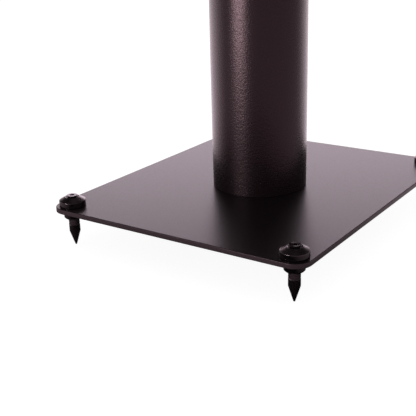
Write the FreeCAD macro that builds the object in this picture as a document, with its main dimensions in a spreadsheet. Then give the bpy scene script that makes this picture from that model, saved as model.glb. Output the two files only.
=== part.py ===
"""A loudspeaker stand: one round steel column between a large base plate and a smaller top plate.

A threaded spike stands under each corner of the base plate. It passes through the plate and
carries a round nut below the plate and a cone-topped lock nut above it, and the two clamp the plate.
The column is a tube with a disc welded inside each end. Cap screws from below and countersunk
screws from above hold the plates to the discs. Four rubber pads carry the loudspeaker.

Millimetres. +Z is up, -Y is the front. The origin is on the floor, in the middle of the four spikes.
"""
import FreeCAD, Part
import os
import Sketcher

# name, value, and what the size is
DIMENSIONS = [
    ("base_width", 302.0, "base plate, side to side"),
    ("base_depth", 360.0, "base plate, front to back"),
    ("base_thickness", 5.4, "base plate, 5 mm sheet and its coat"),
    ("base_corner_radius", 17.0, "base plate corners"),
    ("top_width", 175.0, "top plate, side to side"),
    ("top_depth", 210.0, "top plate, front to back"),
    ("top_thickness", 5.4, "top plate, 5 mm sheet and its coat"),
    ("top_corner_radius", 12.0, "top plate corners"),
    ("plate_edge_radius", 0.8, "rounding of the upper and lower edges of both plates"),
    ("column_diameter", 104.0, "column tube, outside"),
    ("column_wall", 3.0, "column tube wall"),
    ("column_length", 550.0, "column tube, end to end"),
    ("disc_thickness", 8.0, "discs welded inside the column's ends"),
    ("disc_gap", 0.1, "weld gap between disc and tube wall"),
    ("foot_inset", 17.5, "spike axis from each side of the base plate"),
    ("spike_diameter", 11.7, "spike shank, and the crest of its M12 thread"),
    ("spike_drop", 39.0, "spike tip below the underside of the base plate"),
    ("spike_point_length", 15.8, "length of the spike's cone"),
    ("spike_tip_diameter", 1.7, "flat at the tip of the spike"),
    ("spike_proud", 1.7, "spike end above the lock nut"),
    ("spike_end_chamfer", 0.5, "chamfer round the spike's upper end"),
    ("spike_socket_flats", 5.0, "hexagon socket of the spike, across flats"),
    ("spike_socket_depth", 6.0, "hexagon socket of the spike, depth"),
    ("thread_clearance", 0.05, "radial clearance of a nut on the spike, or a screw in a tapped hole"),
    ("foot_hole_clearance", 0.5, "radial clearance of the spike in the base plate"),
    ("lock_nut_diameter", 28.0, "lock nut, largest diameter"),
    ("lock_nut_rim_height", 6.4, "height of the lock nut's straight wall"),
    ("lock_nut_height", 9.8, "lock nut, overall height"),
    ("lock_nut_face_diameter", 15.0, "flat face on top of the lock nut"),
    ("lock_nut_edge_break", 0.4, "chamfer under the lock nut's wall"),
    ("lock_nut_countersink", 0.8, "countersink round the spike in the lock nut's top"),
    ("lower_nut_diameter", 20.0, "nut under the base plate, diameter"),
    ("lower_nut_height", 8.5, "nut under the base plate, height"),
    ("lower_nut_chamfer", 1.5, "chamfer on the nut's lower edge"),
    ("bolt_circle", 60.0, "pitch circle of the screws into the column's discs"),
    ("bolt_diameter", 8.0, "screw thread"),
    ("bolt_hole_clearance", 0.5, "radial clearance of the screws in both plates"),
    ("cap_screw_length", 16.0, "cap screws from below, under the head"),
    ("cap_screw_head_diameter", 13.0, "cap screw head"),
    ("cap_screw_head_height", 8.0, "cap screw head height"),
    ("cap_screw_socket_flats", 6.0, "cap screw socket, across flats"),
    ("cap_screw_socket_depth", 4.0, "cap screw socket depth"),
    ("washer_diameter", 16.0, "washer, outside"),
    ("washer_thickness", 1.6, "washer thickness"),
    ("washer_bore_clearance", 0.2, "radial clearance of the washer on its screw"),
    ("flat_screw_length", 12.0, "countersunk screws from above, overall"),
    ("flat_screw_head_diameter", 16.0, "countersunk head"),
    ("flat_screw_head_clearance", 0.2, "gap between countersunk head and plate, along the axis"),
    ("flat_screw_socket_flats", 5.0, "countersunk screw socket, across flats"),
    ("flat_screw_socket_depth", 2.6, "countersunk screw socket depth"),
    ("pad_diameter", 20.0, "rubber pads"),
    ("pad_height", 2.0, "rubber pads"),
    ("pad_edge_radius", 0.6, "rounded upper edge of a pad"),
    ("pad_inset", 22.0, "pad centre from each side of the top plate"),
]
BOLT_COUNT = 4
CORNERS = {
    "front_left": (-1, -1),
    "front_right": (1, -1),
    "rear_left": (-1, 1),
    "rear_right": (1, 1),
}

# heights above the floor, worked out from the sheet
BASE_UNDERSIDE = "dims.spike_drop"
BASE_TOP = "dims.spike_drop + dims.base_thickness"
COLUMN_TOP = BASE_TOP + " + dims.column_length"
TOP_FACE = COLUMN_TOP + " + dims.top_thickness"

document = FreeCAD.newDocument("speaker_stand")
sheet = document.addObject("Spreadsheet::Sheet", "dims")
for row, (name, value, meaning) in enumerate(DIMENSIONS, start=1):
    sheet.set(f"A{row}", name)
    sheet.set(f"B{row}", str(value))
    sheet.set(f"C{row}", meaning)
    sheet.setAlias(f"B{row}", name)
document.recompute()


# ---------------------------------------------------------------- bodies, sketches and features

def new_body(label, height=None, corner=None, inset=None, plate=None):
    """A body at a height above the floor, on the axis, or inset from one corner of the named plate."""
    body = document.addObject("PartDesign::Body", label)
    body.Label = label
    body.AllowCompound = True
    if height:
        body.setExpression("Placement.Base.z", height)
    if corner:
        side, end = corner
        body.setExpression("Placement.Base.x", f"{side} * (dims.{plate}_width / 2 - dims.{inset})")
        body.setExpression("Placement.Base.y", f"{end} * (dims.{plate}_depth / 2 - dims.{inset})")
    return body


def origin_feature(body, role):
    return next(f for f in body.Origin.OriginFeatures if f.Role == role)


def new_sketch(body, name, plane="XY_Plane", height=None):
    sketch = body.newObject("Sketcher::SketchObject", name)
    sketch.AttachmentSupport = [(origin_feature(body, plane), "")]
    sketch.MapMode = "FlatFace"
    if height:
        sketch.setExpression("AttachmentOffset.Base.z", height)
    return sketch


def bind(sketch, constraint, expression):
    """Adds one dimension to a sketch and ties it to the sheet."""
    index = sketch.addConstraint(constraint)
    sketch.setExpression(f"Constraints[{index}]", expression)


def add_circle(sketch, radius, centre_x=None):
    """A circle about the sketch's origin, or about a point of its X axis at a positive distance."""
    start = FreeCAD.Vector(10 if centre_x else 0, 0, 0)
    circle = sketch.addGeometry(Part.Circle(start, FreeCAD.Vector(0, 0, 1), 5), False)
    bind(sketch, Sketcher.Constraint("Radius", circle, 5.0), radius)
    sketch.addConstraint(Sketcher.Constraint("PointOnObject", circle, 3, -1))
    if centre_x:
        bind(sketch, Sketcher.Constraint("DistanceX", -1, 1, circle, 3, 10.0), centre_x)
    else:
        sketch.addConstraint(Sketcher.Constraint("PointOnObject", circle, 3, -2))


def add_rectangle(sketch, width, depth):
    """A rectangle about the sketch's origin."""
    corners = [(-50, -60), (50, -60), (50, 60), (-50, 60)]
    points = [FreeCAD.Vector(x, y, 0) for x, y in corners]
    lines = []
    for i in range(4):
        lines.append(sketch.addGeometry(Part.LineSegment(points[i], points[(i + 1) % 4]), False))
    for i in range(4):
        sketch.addConstraint(Sketcher.Constraint("Coincident", lines[i], 2, lines[(i + 1) % 4], 1))
        sketch.addConstraint(Sketcher.Constraint("Vertical" if i % 2 else "Horizontal", lines[i]))
    sketch.addConstraint(Sketcher.Constraint("Symmetric", lines[0], 1, lines[1], 2, -1, 1))
    bind(sketch, Sketcher.Constraint("DistanceX", lines[0], 1, lines[0], 2, 100.0), width)
    bind(sketch, Sketcher.Constraint("DistanceY", lines[1], 1, lines[1], 2, 120.0), depth)


def add_profile(sketch, points, start):
    """A closed outline of straight lines. Each point is a pair of expressions, distance from the axis
    and height, or None for a point on that axis. start holds a rough place for each point, in order."""
    rough = [FreeCAD.Vector(x, y, 0) for x, y in start]
    count = len(points)
    lines = []
    for i in range(count):
        lines.append(sketch.addGeometry(Part.LineSegment(rough[i], rough[(i + 1) % count]), False))
    for i in range(count):
        sketch.addConstraint(Sketcher.Constraint("Coincident", lines[i], 2, lines[(i + 1) % count], 1))
    for line, (across, up), place in zip(lines, points, start):
        if across:
            bind(sketch, Sketcher.Constraint("DistanceX", -1, 1, line, 1, float(place[0])), across)
        else:
            sketch.addConstraint(Sketcher.Constraint("PointOnObject", line, 1, -2))
        if up:
            bind(sketch, Sketcher.Constraint("DistanceY", -1, 1, line, 1, float(place[1])), up)
        else:
            sketch.addConstraint(Sketcher.Constraint("PointOnObject", line, 1, -1))


def pad(body, sketch, length, name):
    feature = body.newObject("PartDesign::Pad", name)
    feature.Profile = sketch
    feature.setExpression("Length", length)
    return feature


def pocket(body, sketch, name, depth=None, upward=False):
    """Cuts a sketch's outline to a depth, or right through the body both ways. Downward unless upward."""
    feature = body.newObject("PartDesign::Pocket", name)
    feature.Profile = sketch
    if depth:
        feature.setExpression("Length", depth)
        feature.Reversed = upward
    else:
        feature.Type = "ThroughAll"
        feature.Midplane = True
    return feature


def revolve(body, sketch, name, axis="V_Axis"):
    """Turns an outline about the body's own Z axis, or about a line of the sketch."""
    feature = body.newObject("PartDesign::Revolution", name)
    feature.Profile = sketch
    feature.ReferenceAxis = (sketch, [axis])
    feature.Angle = 360.0
    return feature


def repeat_round(body, features, name):
    """One copy of the features for each screw, evenly round the column's axis."""
    pattern = body.newObject("PartDesign::PolarPattern", name)
    pattern.Originals = features
    pattern.Axis = (origin_feature(body, "Z_Axis"), [""])
    pattern.Angle = 360.0
    pattern.Occurrences = BOLT_COUNT
    body.Tip = pattern


def hexagon_socket(body, name, flats, face_height, depth, centre="0", upward=False):
    """A hexagonal hole in the end face of a spike or screw, cut downward from the face unless upward."""
    sketch = new_sketch(body, name + "_sketch", height=face_height)
    ring = [(1, 0), (0.5, 1), (-0.5, 1), (-1, 0), (-0.5, -1), (0.5, -1)]
    points = []
    for across, up in ring:
        x = f"{centre} + {across} * {flats} / 2 / cos(30 deg)"
        points.append((x, f"{up} * {flats} / 2" if up else None))
    rough_middle = 0 if centre == "0" else 30
    rough = [(rough_middle + 3 * across, 2.6 * up) for across, up in ring]
    add_profile(sketch, points, rough)
    return pocket(body, sketch, name, depth, upward)


def edges_where(feature, test):
    """Names of a feature's edges that pass a test."""
    return [f"Edge{i}" for i, edge in enumerate(feature.Shape.Edges, start=1) if test(edge)]


def is_upright(edge):
    return abs(edge.tangentAt(edge.FirstParameter).z) > 0.99


def lies_flat_at(height):
    """A test for edges that lie in one level plane."""
    def test(edge):
        box = edge.BoundBox
        return box.ZLength < 1e-6 and abs(box.ZMin - height) < 1e-6
    return test


def round_edges(body, base, edges, radius, name):
    feature = body.newObject("PartDesign::Fillet", name)
    feature.Base = (base, edges)
    feature.setExpression("Radius", radius)
    return feature


# ---------------------------------------------------------------- the two plates

def plate_blank(label, height, which):
    """A rectangular plate with rounded corners and edges, its underside at the body's origin."""
    body = new_body(label, height)
    outline = new_sketch(body, label + "_outline")
    add_rectangle(outline, f"dims.{which}_width", f"dims.{which}_depth")
    slab = pad(body, outline, f"dims.{which}_thickness", label + "_slab")
    document.recompute()
    corners = edges_where(slab, is_upright)
    rounded = round_edges(body, slab, corners, f"dims.{which}_corner_radius", label + "_corners")
    document.recompute()
    upper_face = getattr(sheet, f"{which}_thickness")
    rims = edges_where(rounded, lies_flat_at(0.0)) + edges_where(rounded, lies_flat_at(upper_face))
    round_edges(body, rounded, rims, "dims.plate_edge_radius", label + "_edges")
    return body


def screw_holes(body, label, radius):
    """Clearance holes for the column's screws, right through the body."""
    hole = new_sketch(body, label + "_screw_hole")
    add_circle(hole, radius, centre_x="dims.bolt_circle / 2")
    first = pocket(body, hole, label + "_screw_cut")
    document.recompute()
    repeat_round(body, [first], label + "_screw_holes")


def make_base_plate():
    body = plate_blank("base_plate", BASE_UNDERSIDE, "base")
    holes = new_sketch(body, "base_plate_foot_hole")
    radius = "dims.spike_diameter / 2 + dims.foot_hole_clearance"
    across = "dims.base_width / 2 - dims.foot_inset"
    along = "dims.base_depth / 2 - dims.foot_inset"
    for side, end in CORNERS.values():
        place = FreeCAD.Vector(10 * side, 10 * end, 0)
        circle = holes.addGeometry(Part.Circle(place, FreeCAD.Vector(0, 0, 1), 5), False)
        bind(holes, Sketcher.Constraint("Radius", circle, 5.0), radius)
        bind(holes, Sketcher.Constraint("DistanceX", -1, 1, circle, 3, 10.0 * side), f"{side} * ({across})")
        bind(holes, Sketcher.Constraint("DistanceY", -1, 1, circle, 3, 10.0 * end), f"{end} * ({along})")
    pocket(body, holes, "base_plate_foot_holes")
    screw_holes(body, "base_plate", "dims.bolt_diameter / 2 + dims.bolt_hole_clearance")
    return body


def make_top_plate():
    body = plate_blank("top_plate", COLUMN_TOP, "top")
    screw_holes(body, "top_plate", "dims.bolt_diameter / 2 + dims.bolt_hole_clearance")
    document.recompute()
    cone = new_sketch(body, "top_plate_countersink", "XZ_Plane")
    middle = "dims.bolt_circle / 2"
    mouth = f"{middle} + dims.flat_screw_head_diameter / 2 + dims.flat_screw_head_clearance"
    floor = "dims.top_thickness - dims.flat_screw_head_diameter / 2 - dims.flat_screw_head_clearance"
    add_profile(
        cone,
        [(middle, floor), (mouth, "dims.top_thickness"), (middle, "dims.top_thickness")],
        [(30, -3), (38, 5), (30, 5)],
    )
    sink = body.newObject("PartDesign::Groove", "top_plate_sink")
    sink.Profile = cone
    sink.ReferenceAxis = (cone, ["Edge3"])
    sink.Angle = 360.0
    document.recompute()
    repeat_round(body, [sink], "top_plate_countersinks")
    return body


# ---------------------------------------------------------------- the column

def make_column_tube():
    body = new_body("column_tube", BASE_TOP)
    ring = new_sketch(body, "column_section")
    add_circle(ring, "dims.column_diameter / 2")
    add_circle(ring, "dims.column_diameter / 2 - dims.column_wall")
    pad(body, ring, "dims.column_length", "column_wall_tube")
    return body


def make_end_disc(label, height):
    """A tapped disc that fills the tube's bore, flush with the tube's end."""
    body = new_body(label, height)
    face = new_sketch(body, label + "_face")
    add_circle(face, "dims.column_diameter / 2 - dims.column_wall - dims.disc_gap")
    pad(body, face, "dims.disc_thickness", label + "_blank")
    document.recompute()
    screw_holes(body, label, "dims.bolt_diameter / 2 + dims.thread_clearance")
    return body


# ---------------------------------------------------------------- the feet

def make_spike(corner_name, corner):
    """Spike with its tip on the floor. Its hexagon socket faces up."""
    body = new_body(f"spike_{corner_name}", None, corner, "foot_inset", "base")
    outline = new_sketch(body, f"spike_outline_{corner_name}", "XZ_Plane")
    end = BASE_TOP + " + dims.lock_nut_height + dims.spike_proud"
    radius = "dims.spike_diameter / 2"
    points = [
        (None, None),
        ("dims.spike_tip_diameter / 2", None),
        (radius, "dims.spike_point_length"),
        (radius, f"{end} - dims.spike_end_chamfer"),
        (f"{radius} - dims.spike_end_chamfer", end),
        (None, end),
    ]
    rough = [(0, 0), (0.5, 0), (5, 15), (5, 54), (4, 55), (0, 55)]
    add_profile(outline, points, rough)
    revolve(body, outline, f"spike_turned_{corner_name}")
    document.recompute()
    hexagon_socket(
        body,
        f"spike_socket_{corner_name}",
        "dims.spike_socket_flats",
        end,
        "dims.spike_socket_depth",
    )
    return body


def make_lock_nut(corner_name, corner):
    """Lock nut on top of the base plate: a straight wall under a shallow cone, bored for the spike."""
    body = new_body(f"lock_nut_{corner_name}", BASE_TOP, corner, "foot_inset", "base")
    outline = new_sketch(body, f"lock_nut_outline_{corner_name}", "XZ_Plane")
    bore = "dims.spike_diameter / 2 + dims.thread_clearance"
    radius = "dims.lock_nut_diameter / 2"
    points = [
        (bore, None),
        (f"{radius} - dims.lock_nut_edge_break", None),
        (radius, "dims.lock_nut_edge_break"),
        (radius, "dims.lock_nut_rim_height"),
        ("dims.lock_nut_face_diameter / 2", "dims.lock_nut_height"),
        (f"{bore} + dims.lock_nut_countersink", "dims.lock_nut_height"),
        (bore, "dims.lock_nut_height - dims.lock_nut_countersink"),
    ]
    rough = [(5, 0), (13, 0), (13.5, 0.5), (13.5, 6.5), (6.5, 10), (5.9, 10), (5, 9)]
    add_profile(outline, points, rough)
    revolve(body, outline, f"lock_nut_turned_{corner_name}")
    return body


def make_lower_nut(corner_name, corner):
    """Round nut against the underside of the base plate."""
    height = BASE_UNDERSIDE + " - dims.lower_nut_height"
    body = new_body(f"lower_nut_{corner_name}", height, corner, "foot_inset", "base")
    outline = new_sketch(body, f"lower_nut_outline_{corner_name}", "XZ_Plane")
    bore = "dims.spike_diameter / 2 + dims.thread_clearance"
    radius = "dims.lower_nut_diameter / 2"
    points = [
        (bore, None),
        (f"{radius} - dims.lower_nut_chamfer", None),
        (radius, "dims.lower_nut_chamfer"),
        (radius, "dims.lower_nut_height"),
        (bore, "dims.lower_nut_height"),
    ]
    add_profile(outline, points, [(5, 0), (9, 0), (10, 1), (10, 7), (5, 7)])
    revolve(body, outline, f"lower_nut_turned_{corner_name}")
    return body


# ---------------------------------------------------------------- fasteners and pads

def off_centre_revolve(body, label, points, rough):
    """Turns an outline about its own last line, which stands on the screws' pitch circle."""
    outline = new_sketch(body, label + "_outline", "XZ_Plane")
    add_profile(outline, points, rough)
    return revolve(body, outline, label + "_turned", axis=f"Edge{len(points)}")


def make_base_screws():
    """Cap screws, heads down, from under the washers up into the lower disc."""
    label = "base_screws"
    body = new_body(label, BASE_UNDERSIDE + " - dims.washer_thickness")
    middle = "dims.bolt_circle / 2"
    shank = middle + " + dims.bolt_diameter / 2"
    head = middle + " + dims.cap_screw_head_diameter / 2"
    drop = "-dims.cap_screw_head_height"
    points = [
        (middle, drop),
        (head, drop),
        (head, None),
        (shank, None),
        (shank, "dims.cap_screw_length"),
        (middle, "dims.cap_screw_length"),
    ]
    rough = [(30, -8), (36, -8), (36, 0), (34, 0), (34, 16), (30, 16)]
    turned = off_centre_revolve(body, label, points, rough)
    document.recompute()
    socket = hexagon_socket(
        body,
        label + "_socket",
        "dims.cap_screw_socket_flats",
        drop,
        "dims.cap_screw_socket_depth",
        centre=middle,
        upward=True,
    )
    document.recompute()
    repeat_round(body, [turned, socket], label + "_set")
    return body


def make_base_washers():
    label = "base_washers"
    body = new_body(label, BASE_UNDERSIDE + " - dims.washer_thickness")
    ring = new_sketch(body, label + "_ring")
    middle = "dims.bolt_circle / 2"
    add_circle(ring, "dims.washer_diameter / 2", centre_x=middle)
    add_circle(ring, "dims.bolt_diameter / 2 + dims.washer_bore_clearance", centre_x=middle)
    blank = pad(body, ring, "dims.washer_thickness", label + "_blank")
    document.recompute()
    repeat_round(body, [blank], label + "_set")
    return body


def make_top_screws():
    """Countersunk screws, heads flush with the top plate, down into the upper disc."""
    label = "top_screws"
    body = new_body(label, TOP_FACE)
    middle = "dims.bolt_circle / 2"
    shank = middle + " + dims.bolt_diameter / 2"
    head = middle + " + dims.flat_screw_head_diameter / 2"
    points = [
        (middle, "-dims.flat_screw_length"),
        (shank, "-dims.flat_screw_length"),
        (shank, "-(dims.flat_screw_head_diameter - dims.bolt_diameter) / 2"),
        (head, None),
        (middle, None),
    ]
    rough = [(30, -12), (34, -12), (34, -4), (38, 0), (30, 0)]
    turned = off_centre_revolve(body, label, points, rough)
    document.recompute()
    socket = hexagon_socket(
        body,
        label + "_socket",
        "dims.flat_screw_socket_flats",
        None,
        "dims.flat_screw_socket_depth",
        centre=middle,
    )
    document.recompute()
    repeat_round(body, [turned, socket], label + "_set")
    return body


def make_pad(corner_name, corner):
    label = f"rubber_pad_{corner_name}"
    body = new_body(label, TOP_FACE, corner, "pad_inset", "top")
    disc = new_sketch(body, label + "_disc")
    add_circle(disc, "dims.pad_diameter / 2")
    blank = pad(body, disc, "dims.pad_height", label + "_blank")
    document.recompute()
    rim = edges_where(blank, lies_flat_at(sheet.pad_height))
    round_edges(body, blank, rim, "dims.pad_edge_radius", label + "_edge")
    return body


# ---------------------------------------------------------------- the stand

LOWER_DISC_HEIGHT = BASE_TOP
UPPER_DISC_HEIGHT = COLUMN_TOP + " - dims.disc_thickness"

sub_parts = [
    make_base_plate(),
    make_column_tube(),
    make_end_disc("lower_end_disc", LOWER_DISC_HEIGHT),
    make_end_disc("upper_end_disc", UPPER_DISC_HEIGHT),
    make_top_plate(),
    make_base_screws(),
    make_base_washers(),
    make_top_screws(),
]
for corner_name, corner in CORNERS.items():
    sub_parts.append(make_spike(corner_name, corner))
    sub_parts.append(make_lock_nut(corner_name, corner))
    sub_parts.append(make_lower_nut(corner_name, corner))
    sub_parts.append(make_pad(corner_name, corner))
document.recompute()

for item in document.Objects:
    if "Invalid" in item.State or "Error" in item.State:
        raise RuntimeError(f"{item.Name} did not build: {item.State}")
os.makedirs("parts", exist_ok=True)
for part in sub_parts:
    shape = part.Shape
    if shape.isNull() or not shape.isValid() or not shape.Solids:
        raise RuntimeError(f"{part.Label} has no valid solid")
    shape.exportStep(f"parts/{part.Label}.step")
    print(f"{part.Label}: {len(shape.Solids)} solid(s), {shape.Volume / 1000:.2f} cm3")
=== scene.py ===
"""Looks of the loudspeaker stand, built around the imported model.

Metres, in the part's own frame: +Z up, -Y the front, the origin on the floor between the spikes.
"""
import math
import bmesh
import bpy
from mathutils import Matrix, Vector


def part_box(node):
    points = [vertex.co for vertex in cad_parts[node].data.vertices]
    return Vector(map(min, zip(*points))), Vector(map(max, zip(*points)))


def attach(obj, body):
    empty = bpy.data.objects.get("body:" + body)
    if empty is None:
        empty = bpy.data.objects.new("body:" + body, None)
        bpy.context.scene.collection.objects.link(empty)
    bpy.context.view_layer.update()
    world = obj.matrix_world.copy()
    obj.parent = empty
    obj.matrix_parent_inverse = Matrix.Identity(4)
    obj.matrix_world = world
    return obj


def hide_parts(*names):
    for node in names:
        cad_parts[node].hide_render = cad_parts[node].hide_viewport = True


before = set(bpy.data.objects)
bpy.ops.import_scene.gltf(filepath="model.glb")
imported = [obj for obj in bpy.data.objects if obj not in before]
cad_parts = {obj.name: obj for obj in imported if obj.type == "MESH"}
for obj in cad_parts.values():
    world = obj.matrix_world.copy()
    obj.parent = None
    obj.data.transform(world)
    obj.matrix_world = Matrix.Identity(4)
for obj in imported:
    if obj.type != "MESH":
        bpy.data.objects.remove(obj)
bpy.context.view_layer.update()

MM = 0.001
FULL_TURN = 2 * math.pi
UP = Vector((0, 0, 1))
CORNERS = ("front_left", "front_right", "rear_left", "rear_right")

# ---------------------------------------------------------------- sizes not in the frame's boxes

BASE_CORNER_RADIUS = 17 * MM
TOP_CORNER_RADIUS = 12 * MM
PLATE_EDGE_RADIUS = 0.8 * MM
DRILL_OVERRUN = 1 * MM
COLUMN_WALL = 3 * MM
COLUMN_EDGE_RADIUS = 0.4 * MM

SPIKE_POINT_LENGTH = 15.8 * MM
SPIKE_TIP_RADIUS = 0.85 * MM
SPIKE_END_CHAMFER = 0.5 * MM
SPIKE_SHOULDER_STEP = 0.02 * MM
SPIKE_SOCKET_FLATS = 5 * MM
SPIKE_SOCKET_DEPTH = 6 * MM
SPIKE_SOCKET_LAND = 0.5 * MM
SPIKE_THREAD_PITCH = 1.75 * MM
SPIKE_THREAD_BELOW_NUT = 6.8 * MM
SPIKE_THREAD_TOP_GAP = 0.1 * MM
SPIKE_HOLE_RADIUS = 6.35 * MM

NUT_BORE_RADIUS = 5.9 * MM
LOCK_NUT_RIM_HEIGHT = 6.4 * MM
LOCK_NUT_FACE_RADIUS = 7.5 * MM
LOCK_NUT_COUNTERSINK = 0.8 * MM
LOCK_NUT_EDGE_RADIUS = 0.7 * MM
# The lock nut's edges are rounded from this radius outwards.
LOCK_NUT_ROUNDED_FROM = 6.5 * MM
LOWER_NUT_CHAMFER = 1.5 * MM
LOWER_NUT_EDGE_RADIUS = 0.25 * MM

# A socket's land is the flat ring from its wall to just outside its six corners, and its lip is how
# far the wall stops below the land.
SOCKET_LIP = 0.02 * MM

SCREW_CIRCLE_RADIUS = 30 * MM
SCREW_RADIUS = 4 * MM
SCREW_SHANK_RADIUS = SCREW_RADIUS - 0.01 * MM
SCREW_THREAD_PITCH = 1.25 * MM
SCREW_THREAD_RUNOUT = 0.6 * MM
SCREW_THREAD_TO_END = 0.5 * MM
SCREW_END_RADIUS = 3 * MM
SCREW_END_CHAMFER = 0.2 * MM
SCREW_HOLE_RADIUS = 4.5 * MM
CAP_HEAD_RADIUS = 6.5 * MM
CAP_HEAD_HEIGHT = 8 * MM
CAP_HEAD_KNURL = 0.22 * MM
CAP_HEAD_CHAMFER = 0.8 * MM
CAP_HEAD_EDGE_BREAK = 0.4 * MM
CAP_SOCKET_FLATS = 6 * MM
CAP_SOCKET_DEPTH = 4 * MM
CAP_SOCKET_LAND = 0.6 * MM
CAP_SHANK_LENGTH = 3 * MM
FLAT_HEAD_RADIUS = 8 * MM
FLAT_HEAD_GAP = 0.2 * MM
FLAT_HEAD_EDGE_BREAK = 0.15 * MM
FLAT_SOCKET_FLATS = 5 * MM
FLAT_SOCKET_DEPTH = 2.6 * MM
FLAT_SOCKET_LAND = 0.4 * MM
FLAT_SHANK_LENGTH = 1 * MM
WASHER_BORE_RADIUS = 4.2 * MM
WASHER_EDGE_RADIUS = 0.3 * MM
PAD_EDGE_RADIUS = 0.6 * MM

# A metric thread, in pitches: its depth, and where its flat root and its flat crest begin and end.
THREAD_DEPTH = 0.6134
THREAD_ROOT_END = 0.25
THREAD_CREST = (0.5625, 0.6875)
# How far below a thread's lower end its helix starts. The overlap is cut off flat.
THREAD_LEAD = 1.1

# How finely round shapes are divided.
COLUMN_STEPS = 192
NUT_STEPS = 96
SOCKET_STEPS = 72
KNURLED_STEPS = 72
SMALL_STEPS = 64
THREAD_STEPS = 48
CORNER_SEGMENTS = 16
EDGE_SEGMENTS = 3
SOFT_EDGE_SEGMENTS = 4

SAME_PLACE = 1e-6
EDGE_TO_ROUND = math.radians(28)
EDGE_TO_SHADE_SHARP = math.radians(38)

# ---------------------------------------------------------------- camera and studio

# The camera that fits the photograph: place, compass heading from +Y, tilt and roll.
CAMERA_PLACE = Vector((456.01, -757.35, 338.37)) * MM
CAMERA_HEADING = 0.6089
CAMERA_DOWNTILT = 0.3508
CAMERA_ROLL = -0.0297
CAMERA_LENS_MM = 71.36
CAMERA_SENSOR_MM = 36.0

# The studio, as the stand's reflections show it: 1 is white. Each side is a direction, and its fade
# holds the two cosines from it between which the studio goes from dim to white.
BACKDROP_SIDE = Vector((-0.57, 0.82, 0))
BACKDROP_FADE = (0.8, 0.94)
DIM_ROOM = 0.3
FLOOR_SIDE = Vector((-0.64, 0.77, 0))
FLOOR_FADE = (0.0, 0.7)
DIM_FLOOR = 0.33
FLOOR_GLOW_IN_REFLECTIONS = 1.8
REFLECTION_TINT = (1.0, 0.86, 0.93)
# The room darkens towards the ceiling between these two sines of the angle above the floor.
CEILING = 0.12
CEILING_FADE = (0.3, 0.6)
# Soft shadows of the stand on the floor: the middle, the radii at which each is darkest and has
# ended, and how bright it is at its darkest.
FLOOR_SHADOWS = (
    (Vector((40, -230, 0)) * MM, 150 * MM, 400 * MM, 0.0),
    (Vector((-100, 0, 0)) * MM, 180 * MM, 320 * MM, 0.3),
)

ROOM_LIGHT = 0.55
FLOOR_GLOW = 0.93
FLOOR_RADIUS = 12

# ---------------------------------------------------------------- finishes

# Nearly all of a noise texture's values lie between these two.
NOISE_LOW = 0.3
NOISE_HIGH = 0.7
CLOUD_MM = 45
SMUDGE_MM = 5
BLOOM_MM = 7
PIT_MM = 0.5
PIT_DEPTH = 0.05 * MM
COAT_IOR = 1.5
GLOSS_COAT_IOR = 1.9
# Handling leaves a turned piece glossier in places and duller in others, by these factors.
WIPED = 0.8
SMUDGED = 1.25
THREAD_ADDED_ROUGHNESS = 0.4
# The heights on the spikes at rest between which their thread is dull, and painted lighter as a
# painted reflection: from its run-out below the lower nut to a height inside it.
DULL_THREAD_LOW = 22.8 * MM
DULL_THREAD_HIGH = 40 * MM
CUT_EDGE = "cut_edge"


# ---------------------------------------------------------------- materials

def srgb(code):
    """A colour for a shader socket from its sRGB hex code."""
    values = [int(code[i:i + 2], 16) / 255 for i in (1, 3, 5)]
    linear = [v / 12.92 if v <= 0.04045 else ((v + 0.055) / 1.055) ** 2.4 for v in values]
    return (*linear, 1.0)


def per_metre(size_mm):
    """The texture scale at which a pattern repeats once in that many millimetres."""
    return 1000 / size_mm


def add_node(tree, kind, inputs, **settings):
    """Adds a node, sets its properties, and sets each input or links it to a node's output."""
    node = tree.nodes.new("ShaderNode" + kind)
    for name, value in settings.items():
        setattr(node, name, value)
    for name, value in inputs.items():
        if isinstance(value, bpy.types.NodeSocket):
            tree.links.new(value, node.inputs[name])
        else:
            node.inputs[name].default_value = value
    return node


def new_material(name, **sockets):
    """A material with one Principled shader, and its node tree and shader for patterns to join."""
    material = bpy.data.materials.new(name)
    material.use_nodes = True
    tree = material.node_tree
    shader = tree.nodes["Principled BSDF"]
    for socket, value in sockets.items():
        shader.inputs[socket.replace("_", " ")].default_value = value
    return material, tree, shader


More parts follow.
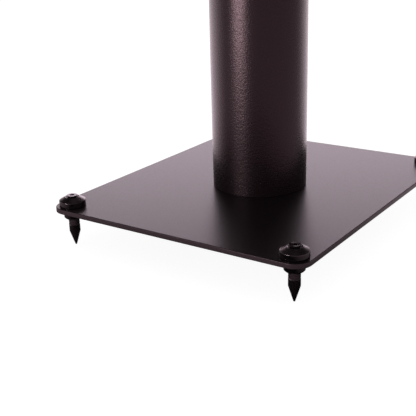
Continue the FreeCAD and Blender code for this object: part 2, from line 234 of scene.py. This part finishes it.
def powder_coat(name, colours, sheen_tint, peel_mm, peel_depth_mm, gloss, painted_edge_sheen=None):
    """Black polyester powder, sprayed dry and baked: it flows into a fine orange peel with rounded
    edges. Light skims off it brightly at a flat angle, and it is nearly black when seen square on.
    Where a painted edge sheen is given, a plate's cut edges are painted that lighter, browner
    colour: a painted reflection, standing in for the light they catch. The real peel is too fine to
    show in the render, so it is drawn coarser."""
    material, tree, shader = new_material(name, IOR=COAT_IOR, Specular_Tint=srgb(sheen_tint))
    place = add_node(tree, "TexCoord", {}).outputs["Object"]
    peel = add_node(
        tree, "TexNoise",
        {"Vector": place, "Scale": per_metre(peel_mm), "Detail": 3.0, "Roughness": 0.6},
    )
    cloud = add_node(
        tree, "TexNoise", {"Vector": place, "Scale": per_metre(CLOUD_MM), "Detail": 4.0},
    )
    tint = add_node(tree, "ValToRGB", {"Fac": cloud.outputs["Fac"]})
    tint.color_ramp.elements[0].position = NOISE_LOW
    tint.color_ramp.elements[0].color = srgb(colours[0])
    tint.color_ramp.elements[1].position = NOISE_HIGH
    tint.color_ramp.elements[1].color = srgb(colours[1])
    colour = tint.outputs["Color"]
    # Painted reflection: the walls that the cut_edge attribute marks take the lighter painted
    # colour.
    if painted_edge_sheen:
        cut_edge = add_node(tree, "Attribute", {}, attribute_name=CUT_EDGE).outputs["Fac"]
        colour = add_node(
            tree, "MixRGB", {"Fac": cut_edge, "Color1": colour, "Color2": srgb(painted_edge_sheen)},
        ).outputs["Color"]
    tree.links.new(colour, shader.inputs["Base Color"])
    sheen = add_node(
        tree, "MapRange",
        {"Value": peel.outputs["Fac"], "From Min": NOISE_LOW, "From Max": NOISE_HIGH,
         "To Min": gloss[0], "To Max": gloss[1]},
    )
    tree.links.new(sheen.outputs["Result"], shader.inputs["Roughness"])
    bump = add_node(
        tree, "Bump",
        {"Height": peel.outputs["Fac"], "Strength": 1.0, "Distance": peel_depth_mm * MM},
    )
    tree.links.new(bump.outputs["Normal"], shader.inputs["Normal"])
    return material


def turned_steel(name, colour, roughness, streaks, metallic=1.0, ior=1.5):
    """Steel turned on a lathe: the fine rings that the tool leaves about the piece's own axis draw
    each reflection out into a streak that runs towards the centre. Bare or oxidised, it shines as
    metal does. Under a gloss black coat, metallic is 0, and it shines as the coat does."""
    material, tree, shader = new_material(
        name, Metallic=metallic, Base_Color=srgb(colour), IOR=ior,
        Specular_Tint=srgb("#ffe4ec"), Anisotropic=streaks,
    )
    rings = add_node(tree, "Tangent", {}, direction_type="RADIAL", axis="Z")
    tree.links.new(rings.outputs["Tangent"], shader.inputs["Tangent"])
    place = add_node(tree, "TexCoord", {}).outputs["Object"]
    smudge = add_node(
        tree, "TexNoise", {"Vector": place, "Scale": per_metre(SMUDGE_MM), "Detail": 4.0},
    )
    handled = add_node(
        tree, "MapRange",
        {"Value": smudge.outputs["Fac"], "From Min": NOISE_LOW, "From Max": NOISE_HIGH,
         "To Min": roughness * WIPED, "To Max": roughness * SMUDGED},
    )
    tree.links.new(handled.outputs["Result"], shader.inputs["Roughness"])
    return material


def threaded_steel(name, colour, painted_thread_glint, roughness, streaks):
    """Turned steel under a gloss coat, which is duller on the rolled thread. The thread is also
    painted lighter and browner: a painted reflection, standing in for the glints of its flanks.
    """
    material = turned_steel(name, colour, roughness, streaks, metallic=0.0, ior=GLOSS_COAT_IOR)
    tree = material.node_tree
    shader = tree.nodes["Principled BSDF"]
    place = add_node(tree, "TexCoord", {}).outputs["Object"]
    height = add_node(tree, "SeparateXYZ", {"Vector": place}).outputs["Z"]
    above = add_node(tree, "Math", {0: height, 1: DULL_THREAD_LOW}, operation="GREATER_THAN")
    below = add_node(tree, "Math", {0: height, 1: DULL_THREAD_HIGH}, operation="LESS_THAN")
    on_thread = add_node(
        tree, "Math", {0: above.outputs["Value"], 1: below.outputs["Value"]}, operation="MULTIPLY",
    ).outputs["Value"]
    # Painted reflection: the thread takes a lighter, browner colour for the glints of its flanks.
    tint = add_node(
        tree, "MixRGB",
        {"Fac": on_thread, "Color1": srgb(colour), "Color2": srgb(painted_thread_glint)},
    )
    tree.links.new(tint.outputs["Color"], shader.inputs["Base Color"])
    handled = shader.inputs["Roughness"].links[0].from_socket
    duller = add_node(
        tree, "Math", {0: on_thread, 1: THREAD_ADDED_ROUGHNESS, 2: handled},
        operation="MULTIPLY_ADD",
    )
    tree.links.new(duller.outputs["Value"], shader.inputs["Roughness"])
    return material


def moulded_rubber():
    """Compression-moulded black rubber: matt, slightly grey with bloom, and faintly pitted."""
    material, tree, shader = new_material(
        "moulded_rubber", Roughness=0.75, Specular_IOR_Level=0.35,
    )
    place = add_node(tree, "TexCoord", {}).outputs["Object"]
    bloom = add_node(
        tree, "TexNoise", {"Vector": place, "Scale": per_metre(BLOOM_MM), "Detail": 5.0},
    )
    tint = add_node(tree, "ValToRGB", {"Fac": bloom.outputs["Fac"]})
    tint.color_ramp.elements[0].color = srgb("#151515")
    tint.color_ramp.elements[1].color = srgb("#2b2a29")
    tree.links.new(tint.outputs["Color"], shader.inputs["Base Color"])
    pits = add_node(
        tree, "TexNoise", {"Vector": place, "Scale": per_metre(PIT_MM), "Detail": 2.0},
    )
    bump = add_node(
        tree, "Bump", {"Height": pits.outputs["Fac"], "Strength": 0.6, "Distance": PIT_DEPTH},
    )
    tree.links.new(bump.outputs["Normal"], shader.inputs["Normal"])
    return material


# ---------------------------------------------------------------- shapes

def turn_profile(points, steps, closed=False):
    """Turns an outline of (radius, height) points about Z. A closed outline makes a ring."""
    bm = bmesh.new()
    verts = [bm.verts.new((radius, 0, height)) for radius, height in points]
    for first, second in zip(verts, verts[1:]):
        bm.edges.new((first, second))
    if closed:
        bm.edges.new((verts[-1], verts[0]))
    bmesh.ops.spin(
        bm, geom=bm.verts[:] + bm.edges[:], axis=UP, angle=FULL_TURN, steps=steps, use_merge=True,
    )
    bmesh.ops.remove_doubles(bm, verts=bm.verts, dist=SAME_PLACE / 10)
    return bm


def round_edges(bm, radius, segments=EDGE_SEGMENTS, wanted=None):
    """Rounds the edges between faces that meet at more than a slight angle."""
    joined = [edge for edge in bm.edges if len(edge.link_faces) == 2]
    sharp = [edge for edge in joined if edge.calc_face_angle() > EDGE_TO_ROUND]
    edges = [edge for edge in sharp if wanted is None or wanted(edge)]
    bmesh.ops.recalc_face_normals(bm, faces=bm.faces)
    bmesh.ops.bevel(
        bm, geom=edges, offset=radius, offset_type="OFFSET", segments=segments, profile=0.5,
        affect="EDGES", material=-1, clamp_overlap=True,
    )


def shape_socket(bm, flats):
    """Pushes the rings of a socket's round wall out to a hexagon of that size across its flats."""
    wall = flats / 2
    for vert in bm.verts:
        radius = math.hypot(vert.co.x, vert.co.y)
        if abs(radius - wall) < SAME_PLACE:
            angle = math.atan2(vert.co.y, vert.co.x)
            from_flat = (angle + FULL_TURN / 12) % (FULL_TURN / 6) - FULL_TURN / 12
            vert.co.xy = vert.co.xy / math.cos(from_flat)


def knurl(bm, radius, depth):
    """Draws in every second line of vertices of a cylinder's wall, for a screw head's grip."""
    step = FULL_TURN / KNURLED_STEPS
    for vert in bm.verts:
        if abs(math.hypot(vert.co.x, vert.co.y) - radius) < SAME_PLACE:
            if round(math.atan2(vert.co.y, vert.co.x) / step) % 2:
                vert.co.xy = vert.co.xy * (1 - depth / radius)


def rim_at(bm, height):
    """The open edges that lie at one height."""
    open_edges = [edge for edge in bm.edges if edge.is_boundary]
    return [
        edge for edge in open_edges
        if all(abs(vert.co.z - height) < SAME_PLACE for vert in edge.verts)
    ]


def bridge(bm, low, high):
    """Joins the open rims at two heights with a band of faces."""
    bmesh.ops.bridge_loops(bm, edges=rim_at(bm, low) + rim_at(bm, high))


def add_copy(bm, other, place=Vector((0, 0, 0))):
    """Adds a moved copy of another bmesh to this one."""
    mesh = bpy.data.meshes.new("copy")
    other.to_mesh(mesh)
    mesh.transform(Matrix.Translation(place))
    bm.from_mesh(mesh)
    bpy.data.meshes.remove(mesh)


def add_thread(bm, radius, pitch, low, high):
    """Adds a right-hand metric thread between two heights, open at both ends."""
    root = radius - THREAD_DEPTH * pitch
    turns = math.ceil((high - low) / pitch) + 2
    start = low - THREAD_LEAD * pitch
    points = []
    for turn in range(turns):
        foot = start + turn * pitch
        points += [(root, foot), (root, foot + THREAD_ROOT_END * pitch)]
        points += [(radius, foot + part * pitch) for part in THREAD_CREST]
    thread = bmesh.new()
    verts = [thread.verts.new((r, 0, z)) for r, z in points]
    for first, second in zip(verts, verts[1:]):
        thread.edges.new((first, second))
    bmesh.ops.spin(
        thread, geom=thread.verts[:] + thread.edges[:], axis=UP, dvec=UP * pitch / THREAD_STEPS,
        angle=FULL_TURN, steps=THREAD_STEPS,
    )
    bmesh.ops.remove_doubles(thread, verts=thread.verts, dist=SAME_PLACE)
    for height, outward in ((high, UP), (low, -UP)):
        everything = thread.verts[:] + thread.edges[:] + thread.faces[:]
        bmesh.ops.bisect_plane(
            thread, geom=everything, dist=SAME_PLACE / 100, plane_co=UP * height,
            plane_no=outward, clear_outer=True,
        )
    add_copy(bm, thread)
    thread.free()


def rounded_slab(low, high, corner_radius):
    """A rectangular plate with rounded corners and edges, between two corners of a box."""
    size = high - low
    bm = bmesh.new()
    bmesh.ops.create_grid(bm, x_segments=1, y_segments=1, size=0.5)
    bmesh.ops.scale(bm, vec=(size.x, size.y, 1), verts=bm.verts)
    bmesh.ops.bevel(
        bm, geom=bm.verts[:], offset=corner_radius, offset_type="OFFSET",
        segments=CORNER_SEGMENTS, profile=0.5, affect="VERTICES", material=-1,
    )
    upper = bmesh.ops.extrude_face_region(bm, geom=bm.faces[:], use_keep_orig=True)
    raised = [part for part in upper["geom"] if isinstance(part, bmesh.types.BMVert)]
    bmesh.ops.translate(bm, vec=(0, 0, size.z), verts=raised)
    bmesh.ops.translate(bm, vec=(low + high) / 2 - UP * size.z / 2, verts=bm.verts)
    bmesh.ops.recalc_face_normals(bm, faces=bm.faces)

    def is_level(edge):
        return abs(edge.verts[0].co.z - edge.verts[1].co.z) < SAME_PLACE

    round_edges(bm, PLATE_EDGE_RADIUS, segments=SOFT_EDGE_SEGMENTS, wanted=is_level)
    return bm


def drill(bm, places, radii, low, high):
    """Cuts a round hole with its two end radii at each place, from one height to another."""
    drills = bmesh.new()
    for place in places:
        bmesh.ops.create_cone(
            drills, cap_ends=True, segments=SMALL_STEPS, radius1=radii[0], radius2=radii[1],
            depth=high - low, matrix=Matrix.Translation((place.x, place.y, (low + high) / 2)),
        )
    blank, cutter = [object_from(shape, "scratch") for shape in (bm, drills)]
    cut = blank.modifiers.new("cut", "BOOLEAN")
    cut.operation = "DIFFERENCE"
    cut.solver = "EXACT"
    cut.object = cutter
    cut_blank = blank.evaluated_get(bpy.context.evaluated_depsgraph_get())
    result = bpy.data.meshes.new_from_object(cut_blank)
    bm.clear()
    bm.from_mesh(result)
    for scratch in (blank, cutter):
        bpy.data.objects.remove(scratch)
    bpy.data.meshes.remove(result)
    drills.free()


def drill_through(bm, places, radius, low, high):
    """Cuts a straight hole through a plate at each place."""
    drill(bm, places, (radius, radius), low.z - DRILL_OVERRUN, high.z + DRILL_OVERRUN)


def mark_cut_edge(bm, low, high):
    """Marks the walls of a plate's outline and holes, which are painted lighter as a painted
    reflection.
    """
    cut_edge = bm.verts.layers.float.new(CUT_EDGE)
    for vert in bm.verts:
        on_wall = low.z + PLATE_EDGE_RADIUS / 2 < vert.co.z < high.z - PLATE_EDGE_RADIUS / 2
        vert[cut_edge] = 1.0 if on_wall else 0.0


def object_from(bm, name):
    mesh = bpy.data.meshes.new(name)
    bm.to_mesh(mesh)
    piece = bpy.data.objects.new(name, mesh)
    bpy.context.scene.collection.objects.link(piece)
    return piece


def place_piece(bm, name, material, body, node):
    """Makes the finished piece, which stands for its node and moves with its body."""
    bmesh.ops.recalc_face_normals(bm, faces=bm.faces)
    for face in bm.faces:
        face.smooth = True
    piece = object_from(bm, name)
    bm.free()
    piece.data.set_sharp_from_angle(angle=EDGE_TO_SHADE_SHARP)
    piece.data.materials.append(material)
    even = piece.modifiers.new("even_shading", "WEIGHTED_NORMAL")
    even.keep_sharp = True
    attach(piece, body)
    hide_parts(node)


def centre_of(node):
    """The upright axis of a node, at the node's own lowest point."""
    low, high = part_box(node)
    return Vector(((low[0] + high[0]) / 2, (low[1] + high[1]) / 2, low[2]))


def corners_of(node):
    """The lowest and highest corners of a node's box."""
    low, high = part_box(node)
    return Vector(low), Vector(high)


def round_size_of(node):
    """The radius and height of a node that is round about an upright axis."""
    low, high = corners_of(node)
    return (high.x - low.x) / 2, high.z - low.z


def screw_places():
    """The four points of the screws' pitch circle, on the X and Y axes."""
    turns = [FULL_TURN * i / 4 for i in range(4)]
    return [Vector((math.cos(a), math.sin(a), 0)) * SCREW_CIRCLE_RADIUS for a in turns]


# ---------------------------------------------------------------- plates and column

def make_base_plate(material):
    low, high = corners_of("base_plate")
    bm = rounded_slab(low, high, BASE_CORNER_RADIUS)
    feet = [centre_of(f"spike_{corner}") for corner in CORNERS]
    drill_through(bm, feet, SPIKE_HOLE_RADIUS, low, high)
    drill_through(bm, screw_places(), SCREW_HOLE_RADIUS, low, high)
    mark_cut_edge(bm, low, high)
    place_piece(bm, "coated_base_plate", material, "stand", "base_plate")


def make_top_plate(material):
    """The upper plate, with a countersink for each screw's head."""
    low, high = corners_of("top_plate")
    bm = rounded_slab(low, high, TOP_CORNER_RADIUS)
    drill_through(bm, screw_places(), SCREW_HOLE_RADIUS, low, high)
    mouth = FLAT_HEAD_RADIUS + FLAT_HEAD_GAP
    sink_depth = mouth - SCREW_RADIUS
    drill(
        bm, screw_places(), (SCREW_RADIUS, mouth + DRILL_OVERRUN),
        high.z - sink_depth, high.z + DRILL_OVERRUN,
    )
    mark_cut_edge(bm, low, high)
    place_piece(bm, "coated_top_plate", material, "stand", "top_plate")


def make_column(material):
    low, high = corners_of("column_tube")
    outer = high.x
    inner = outer - COLUMN_WALL
    wall = [(outer, low.z), (outer, high.z), (inner, high.z), (inner, low.z)]
    bm = turn_profile(wall, COLUMN_STEPS, closed=True)
    round_edges(bm, COLUMN_EDGE_RADIUS)
    place_piece(bm, "coated_column", material, "stand", "column_tube")


# ---------------------------------------------------------------- feet

def make_spike(corner, material):
    """A stud with a cone and a smooth shank below, and a thread and a hexagon socket above."""
    node = f"spike_{corner}"
    radius, length = round_size_of(node)
    nut_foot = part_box(f"lower_nut_{corner}")[0][2] - centre_of(node).z
    thread_foot = nut_foot - SPIKE_THREAD_BELOW_NUT
    shank_top = thread_foot - SPIKE_THREAD_PITCH / 2
    shoulder = length - SPIKE_END_CHAMFER
    thread_top = shoulder - SPIKE_THREAD_TOP_GAP
    below = [(0, 0), (SPIKE_TIP_RADIUS, 0), (radius, SPIKE_POINT_LENGTH), (radius, shank_top)]
    bm = turn_profile(below, SOCKET_STEPS)
    wall = SPIKE_SOCKET_FLATS / 2
    socket_floor = length - SPIKE_SOCKET_DEPTH
    above = [
        (radius - SPIKE_SHOULDER_STEP, shoulder),
        (radius - SPIKE_END_CHAMFER, length),
        (wall + SPIKE_SOCKET_LAND, length),
        (wall, length - SOCKET_LIP),
        (wall, socket_floor),
        (0, socket_floor - wall / 2),
    ]
    end = turn_profile(above, SOCKET_STEPS)
    shape_socket(end, SPIKE_SOCKET_FLATS)
    add_copy(bm, end)
    end.free()
    add_thread(bm, radius, SPIKE_THREAD_PITCH, thread_foot, thread_top)
    bridge(bm, shank_top, thread_foot)
    bridge(bm, thread_top, shoulder)
    bmesh.ops.translate(bm, vec=centre_of(node), verts=bm.verts)
    place_piece(bm, f"turned_spike_{corner}", material, f"spike_body_{corner}", node)


def make_lock_nut(corner, material):
    """A round nut whose straight wall carries a flat-topped cone."""
    node = f"lock_nut_{corner}"
    radius, height = round_size_of(node)
    outline = [
        (NUT_BORE_RADIUS, 0),
        (radius, 0),
        (radius, LOCK_NUT_RIM_HEIGHT),
        (LOCK_NUT_FACE_RADIUS, height),
        (NUT_BORE_RADIUS + LOCK_NUT_COUNTERSINK, height),
        (NUT_BORE_RADIUS, height - LOCK_NUT_COUNTERSINK),
    ]
    bm = turn_profile(outline, NUT_STEPS, closed=True)

    def is_outside(edge):
        return edge.verts[0].co.xy.length > LOCK_NUT_ROUNDED_FROM

    round_edges(bm, LOCK_NUT_EDGE_RADIUS, wanted=is_outside)
    bmesh.ops.translate(bm, vec=centre_of(node), verts=bm.verts)
    place_piece(
        bm, f"turned_lock_nut_{corner}", material, f"lock_nut_body_{corner}", node,
    )


def make_lower_nut(corner, material):
    """A round nut with a bevel round its lower edge."""
    node = f"lower_nut_{corner}"
    radius, height = round_size_of(node)
    outline = [
        (NUT_BORE_RADIUS, 0),
        (radius - LOWER_NUT_CHAMFER, 0),
        (radius, LOWER_NUT_CHAMFER),
        (radius, height),
        (NUT_BORE_RADIUS, height),
    ]
    bm = turn_profile(outline, NUT_STEPS, closed=True)

    def is_outside(edge):
        return edge.verts[0].co.xy.length > radius - 2 * LOWER_NUT_CHAMFER

    round_edges(bm, LOWER_NUT_EDGE_RADIUS, wanted=is_outside)
    bmesh.ops.translate(bm, vec=centre_of(node), verts=bm.verts)
    place_piece(
        bm, f"turned_lower_nut_{corner}", material, f"lower_nut_body_{corner}", node,
    )


# ---------------------------------------------------------------- screws, washers and pads

def repeat_on_circle(shape):
    """Four copies of a shape, one at each screw."""
    bm = bmesh.new()
    for place in screw_places():
        add_copy(bm, shape, place)
    shape.free()
    return bm


def add_screw_end(shape, tip, inward):
    """Adds a screw's chamfered end at its tip. inward is 1 where the screw lies above the tip and
    -1 where it lies below. Returns the height of the end's open rim."""
    rim = tip + inward * SCREW_END_CHAMFER
    outline = [
        (SCREW_END_RADIUS + SCREW_END_CHAMFER, rim),
        (SCREW_END_RADIUS, tip),
        (0, tip),
    ]
    end = turn_profile(outline, SOCKET_STEPS)
    add_copy(shape, end)
    end.free()
    return rim


def make_base_screws(material):
    """Socket cap screws, heads down, with a knurled grip."""
    low, high = corners_of("base_screws")
    under_head = low.z + CAP_HEAD_HEIGHT
    shank_end = under_head + CAP_SHANK_LENGTH
    wall = CAP_SOCKET_FLATS / 2
    head = [
        (0, low.z + CAP_SOCKET_DEPTH + wall / 3),
        (wall, low.z + CAP_SOCKET_DEPTH),
        (wall, low.z + SOCKET_LIP),
        (wall + CAP_SOCKET_LAND, low.z),
        (CAP_HEAD_RADIUS - CAP_HEAD_CHAMFER, low.z),
        (CAP_HEAD_RADIUS, low.z + CAP_HEAD_CHAMFER),
        (CAP_HEAD_RADIUS, under_head - CAP_HEAD_EDGE_BREAK),
        (CAP_HEAD_RADIUS - CAP_HEAD_EDGE_BREAK, under_head),
        (SCREW_SHANK_RADIUS, under_head),
        (SCREW_SHANK_RADIUS, shank_end),
    ]
    shape = turn_profile(head, KNURLED_STEPS)
    shape_socket(shape, CAP_SOCKET_FLATS)
    knurl(shape, CAP_HEAD_RADIUS, CAP_HEAD_KNURL)
    rim = add_screw_end(shape, high.z, -1)
    foot = shank_end + SCREW_THREAD_RUNOUT
    top = high.z - SCREW_THREAD_TO_END
    add_thread(shape, SCREW_RADIUS, SCREW_THREAD_PITCH, foot, top)
    bridge(shape, shank_end, foot)
    bridge(shape, top, rim)
    place_piece(
        repeat_on_circle(shape), "knurled_base_screws", material, "stand", "base_screws",
    )


def make_base_washers(material):
    low, high = corners_of("base_washers")
    radius = high.x - SCREW_CIRCLE_RADIUS
    outline = [
        (WASHER_BORE_RADIUS, low.z),
        (radius, low.z),
        (radius, high.z),
        (WASHER_BORE_RADIUS, high.z),
    ]
    shape = turn_profile(outline, SMALL_STEPS, closed=True)
    round_edges(shape, WASHER_EDGE_RADIUS)
    place_piece(
        repeat_on_circle(shape), "stamped_washers", material, "stand", "base_washers",
    )


def make_top_screws(material):
    """Countersunk socket screws, flush with the top plate."""
    low, high = corners_of("top_screws")
    wall = FLAT_SOCKET_FLATS / 2
    neck = high.z - (FLAT_HEAD_RADIUS - SCREW_RADIUS)
    shank_end = neck - FLAT_SHANK_LENGTH
    head = [
        (0, high.z - FLAT_SOCKET_DEPTH - wall / 3),
        (wall, high.z - FLAT_SOCKET_DEPTH),
        (wall, high.z - SOCKET_LIP),
        (wall + FLAT_SOCKET_LAND, high.z),
        (FLAT_HEAD_RADIUS - FLAT_HEAD_EDGE_BREAK, high.z),
        (FLAT_HEAD_RADIUS, high.z - FLAT_HEAD_EDGE_BREAK),
        (SCREW_SHANK_RADIUS, neck),
        (SCREW_SHANK_RADIUS, shank_end),
    ]
    shape = turn_profile(head, SOCKET_STEPS)
    shape_socket(shape, FLAT_SOCKET_FLATS)
    rim = add_screw_end(shape, low.z, 1)
    foot = low.z + SCREW_THREAD_TO_END
    top = shank_end - SCREW_THREAD_RUNOUT
    add_thread(shape, SCREW_RADIUS, SCREW_THREAD_PITCH, foot, top)
    bridge(shape, top, shank_end)
    bridge(shape, rim, foot)
    place_piece(
        repeat_on_circle(shape), "countersunk_top_screws", material, "stand", "top_screws",
    )


def make_pad(corner, material):
    """A round pad with a softened upper edge."""
    node = f"rubber_pad_{corner}"
    radius, height = round_size_of(node)
    bm = turn_profile([(0, 0), (radius, 0), (radius, height), (0, height)], SMALL_STEPS)

    def is_upper(edge):
        return edge.verts[0].co.z > height / 2

    round_edges(bm, PAD_EDGE_RADIUS, segments=SOFT_EDGE_SEGMENTS, wanted=is_upper)
    bmesh.ops.translate(bm, vec=centre_of(node), verts=bm.verts)
    place_piece(bm, f"moulded_pad_{corner}", material, "stand", node)


# ---------------------------------------------------------------- camera, light and floor

def make_camera():
    data = bpy.data.cameras.new("photograph_camera")
    data.lens = CAMERA_LENS_MM
    data.sensor_width = CAMERA_SENSOR_MM
    data.clip_start = 0.05
    data.clip_end = 100
    camera = bpy.data.objects.new("photograph_camera", data)
    bpy.context.scene.collection.objects.link(camera)
    heading = Matrix.Rotation(CAMERA_HEADING, 4, "Z")
    tilt = Matrix.Rotation(math.pi / 2 - CAMERA_DOWNTILT, 4, "X")
    roll = Matrix.Rotation(CAMERA_ROLL, 4, "Z")
    camera.matrix_world = Matrix.Translation(CAMERA_PLACE) @ heading @ tilt @ roll
    bpy.context.scene.camera = camera


def make_softbox(name, place, target, width, height, watts, colour):
    """A rectangular lamp at a place, turned towards a target."""
    data = bpy.data.lights.new(name, "AREA")
    data.color = colour
    data.shape = "RECTANGLE"
    data.size = width
    data.size_y = height
    data.energy = watts
    lamp = bpy.data.objects.new(name, data)
    lamp.location = place
    lamp.rotation_mode = "QUATERNION"
    lamp.rotation_quaternion = (Vector(target) - Vector(place)).to_track_quat("-Z", "Y")
    bpy.context.scene.collection.objects.link(lamp)


def brightness_around(tree, direction, side, fade, dimmest):
    """How bright the studio is in a direction: 1 on one side, and dim on the other."""
    flat = add_node(tree, "VectorMath", {0: direction, 1: (1, 1, 0)}, operation="MULTIPLY")
    heading = add_node(tree, "VectorMath", {0: flat.outputs["Vector"]}, operation="NORMALIZE")
    facing = add_node(
        tree, "VectorMath", {0: heading.outputs["Vector"], 1: side}, operation="DOT_PRODUCT",
    )
    return add_node(
        tree, "MapRange",
        {"Value": facing.outputs["Value"], "From Min": fade[0], "From Max": fade[1],
         "To Min": dimmest},
        interpolation_type="SMOOTHSTEP",
    ).outputs["Result"]


def tinted_in_reflections(tree, path):
    """White, with the faint lilac cast that the studio shows in the coat's reflections."""
    return add_node(
        tree, "MixRGB",
        {"Fac": path.outputs["Is Glossy Ray"], "Color1": (1, 1, 1, 1),
         "Color2": (*REFLECTION_TINT, 1)},
    ).outputs["Color"]


def make_world():
    """A white studio: white where the camera sees it, darker overhead and in front in reflections,
    and a plain soft light where it only lights."""
    world = bpy.data.worlds.new("white_studio")
    bpy.context.scene.world = world
    world.use_nodes = True
    tree = world.node_tree
    path = add_node(tree, "LightPath", {})
    direction = add_node(tree, "TexCoord", {}).outputs["Generated"]
    around = brightness_around(tree, direction, BACKDROP_SIDE, BACKDROP_FADE, DIM_ROOM)
    height = add_node(tree, "SeparateXYZ", {"Vector": direction}).outputs["Z"]
    overhead = add_node(
        tree, "MapRange",
        {"Value": height, "From Min": CEILING_FADE[0], "From Max": CEILING_FADE[1],
         "To Min": 1.0, "To Max": CEILING},
        interpolation_type="SMOOTHSTEP",
    )
    reflected = add_node(
        tree, "Math", {0: around, 1: overhead.outputs["Result"]}, operation="MULTIPLY",
    )
    unseen = add_node(
        tree, "MapRange",
        {"Value": path.outputs["Is Glossy Ray"], "To Min": ROOM_LIGHT,
         "To Max": reflected.outputs["Value"]},
    )
    straight = add_node(
        tree, "Math",
        {0: path.outputs["Is Camera Ray"], 1: path.outputs["Is Transmission Ray"]},
        operation="MAXIMUM",
    )
    strength = add_node(
        tree, "MapRange",
        {"Value": straight.outputs["Value"], "To Min": unseen.outputs["Result"], "To Max": 1.0},
    )
    background = tree.nodes["Background"]
    tree.links.new(tinted_in_reflections(tree, path), background.inputs["Color"])
    tree.links.new(strength.outputs["Result"], background.inputs["Strength"])


def floor_in_reflections(tree, path, place):
    """How brightly the floor shows in the stand's reflections: dim in front, and darker still in
    the stand's soft shadows. It is 0 for every other look at the floor."""
    brightness = brightness_around(tree, place, FLOOR_SIDE, FLOOR_FADE, DIM_FLOOR)
    for middle, darkest_radius, end_radius, darkest in FLOOR_SHADOWS:
        away = add_node(tree, "VectorMath", {0: place, 1: middle}, operation="DISTANCE")
        shadow = add_node(
            tree, "MapRange",
            {"Value": away.outputs["Value"], "From Min": darkest_radius, "From Max": end_radius,
             "To Min": darkest},
        )
        brightness = add_node(
            tree, "Math", {0: brightness, 1: shadow.outputs["Result"]}, operation="MULTIPLY",
        ).outputs["Value"]
    brightest = add_node(
        tree, "MapRange",
        {"Value": path.outputs["Is Glossy Ray"], "To Min": 0.0,
         "To Max": FLOOR_GLOW_IN_REFLECTIONS},
    )
    return add_node(
        tree, "Math", {0: brightness, 1: brightest.outputs["Result"]}, operation="MULTIPLY",
    ).outputs["Value"]


def make_floor():
    """A matt white floor, shown white to the camera with only a trace of the stand's shadow. To the
    camera it glows and reflects less, which makes the shadow faint."""
    material, tree, shader = new_material(
        "matt_white_floor", Roughness=1.0, Specular_IOR_Level=0.0,
    )
    path = add_node(tree, "LightPath", {})
    place = add_node(tree, "TexCoord", {}).outputs["Object"]
    shade = add_node(
        tree, "MixRGB",
        {"Fac": path.outputs["Is Camera Ray"], "Color1": srgb("#e6e6e6"),
         "Color2": srgb("#808080")},
    )
    unreflected = add_node(
        tree, "MixRGB",
        {"Fac": path.outputs["Is Glossy Ray"], "Color1": shade.outputs["Color"],
         "Color2": (0, 0, 0, 1)},
    )
    tree.links.new(unreflected.outputs["Color"], shader.inputs["Base Color"])
    tree.links.new(tinted_in_reflections(tree, path), shader.inputs["Emission Color"])
    glow = add_node(
        tree, "MapRange",
        {"Value": path.outputs["Is Camera Ray"],
         "To Min": floor_in_reflections(tree, path, place), "To Max": FLOOR_GLOW},
    )
    tree.links.new(glow.outputs["Result"], shader.inputs["Emission Strength"])
    bm = bmesh.new()
    bmesh.ops.create_circle(bm, cap_ends=True, segments=SMALL_STEPS, radius=FLOOR_RADIUS)
    floor = object_from(bm, "studio_floor")
    bm.free()
    floor.data.materials.append(material)


# ---------------------------------------------------------------- the scene

make_camera()
make_world()
make_floor()
make_softbox(
    "left_softbox", place=(-0.58, -2.23, 0.1), target=(0, 0, 0.3),
    width=1.05, height=0.2, watts=17, colour=(1, 1, 1),
)
make_softbox(
    "rear_softbox", place=(-1.2, 1.92, 0.62), target=(0, 0, 0.05),
    width=1.8, height=1.0, watts=9.2, colour=(1.0, 0.87, 0.98),
)

# The plates' lighter brown cut edges are a painted reflection.
smooth_coat = powder_coat(
    "satin_powder_coat", ("#090708", "#0d0a0b"), sheen_tint="#ffdde8",
    peel_mm=1.6, peel_depth_mm=0.02, gloss=(0.32, 0.38), painted_edge_sheen="#32272b",
)
textured_coat = powder_coat(
    "fine_texture_powder_coat", ("#0a0607", "#0f090a"), sheen_tint="#ffd5e0",
    peel_mm=1.8, peel_depth_mm=0.17, gloss=(0.25, 0.31),
)
oxide_steel = turned_steel("black_oxide_steel", "#2c2b2d", roughness=0.4, streaks=0.0)
mild_steel = turned_steel("turned_mild_steel", "#9c9893", roughness=0.35, streaks=0.6)
nut_steel = turned_steel(
    "gloss_black_plated_steel", "#080607", roughness=0.2, streaks=0.8,
    metallic=0.0, ior=GLOSS_COAT_IOR,
)
# The spikes' lighter thread colour is a painted reflection.
spike_steel = threaded_steel(
    "gloss_black_spike_steel", "#140e10", painted_thread_glint="#33262a", roughness=0.2, streaks=0.8,
)
rubber = moulded_rubber()

make_base_plate(smooth_coat)
make_top_plate(smooth_coat)
make_column(textured_coat)
make_base_screws(oxide_steel)
make_base_washers(oxide_steel)
make_top_screws(oxide_steel)
for corner in CORNERS:
    make_spike(corner, spike_steel)
    make_lock_nut(corner, nut_steel)
    make_lower_nut(corner, nut_steel)
    make_pad(corner, rubber)
for node in ("lower_end_disc", "upper_end_disc"):
    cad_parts[node].data.materials[0] = mild_steel

bpy.context.scene.view_settings.view_transform = "Standard"
